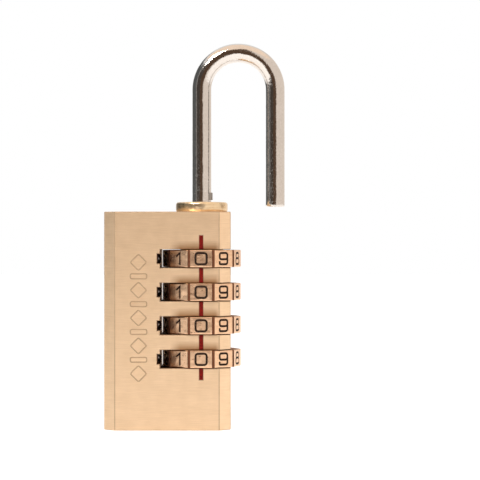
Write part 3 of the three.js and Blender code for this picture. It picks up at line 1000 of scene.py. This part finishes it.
def level_sheet(name, low, high, z, material, seen=False):
    corners = [(low[0], low[1], z), (high[0], low[1], z), (high[0], high[1], z), (low[0], high[1], z)]
    return set_up(name, corners, [(0, 1, 2, 3)], material, seen)


def glow(name, colour, strength=1.0, diffuse=0.0):
    material = bpy.data.materials.new(name)
    material.use_nodes = True
    shader = material.node_tree.nodes["Principled BSDF"]
    shader.inputs["Base Color"].default_value = (*[diffuse] * 3, 1)
    shader.inputs["Roughness"].default_value = 0.9
    shader.inputs["Specular IOR Level"].default_value = 0.0
    shader.inputs["Emission Color"].default_value = (*colour, 1)
    shader.inputs["Emission Strength"].default_value = strength
    return material


def area_light(name, place, target, size, power, colour):
    data = bpy.data.lights.new(name, "AREA")
    data.shape = "RECTANGLE"
    data.size = size[0] * MM
    data.size_y = size[1] * MM
    data.energy = power
    data.color = colour
    lamp = bpy.data.objects.new(name, data)
    lamp.location = Vector(place) * MM
    lamp.rotation_mode = "QUATERNION"
    lamp.rotation_quaternion = (Vector(target) - Vector(place)).to_track_quat("-Z", "Y")
    bpy.context.scene.collection.objects.link(lamp)
    return lamp


def make_studio():
    scene = bpy.context.scene
    world = bpy.data.worlds.new("studio")
    world.use_nodes = True
    world.node_tree.nodes["Background"].inputs["Color"].default_value = (1, 1, 1, 1)
    world.node_tree.nodes["Background"].inputs["Strength"].default_value = 1.0
    scene.world = world

    reach = FLOOR_REACH
    white = glow("floor_white", FLOOR_COLOUR, 0.66, 0.6)
    level_sheet("floor", (-reach, -reach), (reach, reach), FLOOR_Z, white, seen=True)
    for name, first, last, height, distance, colour in SHEETS:
        screen(name, first, last, height, distance, glow(f"{name}_glow", colour))
    apron = level_sheet("apron", (-170, -440), (120, -260), 1, glow("apron_glow", APRON_COLOUR))
    apron.visible_diffuse = False
    apron.visible_shadow = False
    level_sheet("roof", (-500, -700), (500, 300), 600, glow("roof_glow", ROOF_COLOUR))
    area_light("key", KEY_PLACE, KEY_TARGET, KEY_SIZE, KEY_POWER, KEY_COLOUR)


def make_camera():
    data = bpy.data.cameras.new("camera")
    data.lens = CAMERA_LENS
    data.clip_start = 0.01
    data.clip_end = 20
    camera = bpy.data.objects.new("camera", data)
    camera.location = Vector(CAMERA_PLACE) * MM
    camera.rotation_euler = (math.pi / 2, 0, 0)
    bpy.context.scene.collection.objects.link(camera)
    bpy.context.scene.camera = camera


# ---------------------------------------------------------------- assembly


def dress(obj, body, slot, material, *nodes):
    """Gives a piece its material, the body that it moves with and the nodes that it replaces. The slot
    argument is not used.
    """
    obj.data.materials.clear()
    obj.data.materials.append(material)
    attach(obj, body)
    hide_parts(*nodes)


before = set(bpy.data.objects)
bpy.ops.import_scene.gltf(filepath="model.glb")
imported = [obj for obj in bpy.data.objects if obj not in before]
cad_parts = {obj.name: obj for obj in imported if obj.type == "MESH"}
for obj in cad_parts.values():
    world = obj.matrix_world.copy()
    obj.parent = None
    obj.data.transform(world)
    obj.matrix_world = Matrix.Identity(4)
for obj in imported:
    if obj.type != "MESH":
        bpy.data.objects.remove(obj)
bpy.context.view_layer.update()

scene = bpy.context.scene
scene.view_settings.view_transform = "Standard"
dial_boxes = [box_mm(f"dial_{k + 1}") for k in range(DIAL_COUNT)]
axis_x = box_mm("collar")[0].x / 2 + box_mm("collar")[1].x / 2
dial_centres = [(low.z + high.z) / 2 for low, high in dial_boxes]
materials = make_materials(dial_centres)

dress(make_case(axis_x, dial_centres), "case", "case_brass", materials["case_brass"], "case")
dress(make_collar(axis_x), "case", "collar_brass", materials["collar_brass"], "collar")
dress(make_index(axis_x, dial_centres), "case", "index_paint", materials["index_paint"])
dress(make_shackle(axis_x, dial_centres), "shackle", "chrome", materials["chrome"], "shackle")
for piece, number in make_dials(axis_x, dial_centres):
    is_ring = piece.name.startswith("dial_ring")
    slot = "dial_brass" if is_ring else "digit_paint"
    replaced = [f"dial_{number}"] if is_ring else []
    dress(piece, f"dial_{number}", slot, materials[slot], *replaced)

for number in range(1, DIAL_COUNT + 1):
    ball = f"detent_ball_{number}"
    dress(make_ball(number), ball, "spring_steel", materials["spring_steel"], ball)

for spring, name in make_springs(axis_x):
    dress(spring, "case", "spring_steel", materials["spring_steel"], name)
    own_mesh(spring)

# The nodes that nothing replaces keep their shape and only get a material.
for name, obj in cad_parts.items():
    if obj.hide_render:
        continue
    slot = "sleeve_brass" if name.startswith("clutch") else "spring_steel"
    obj.data.materials.clear()
    obj.data.materials.append(materials[slot])

make_studio()
make_camera()
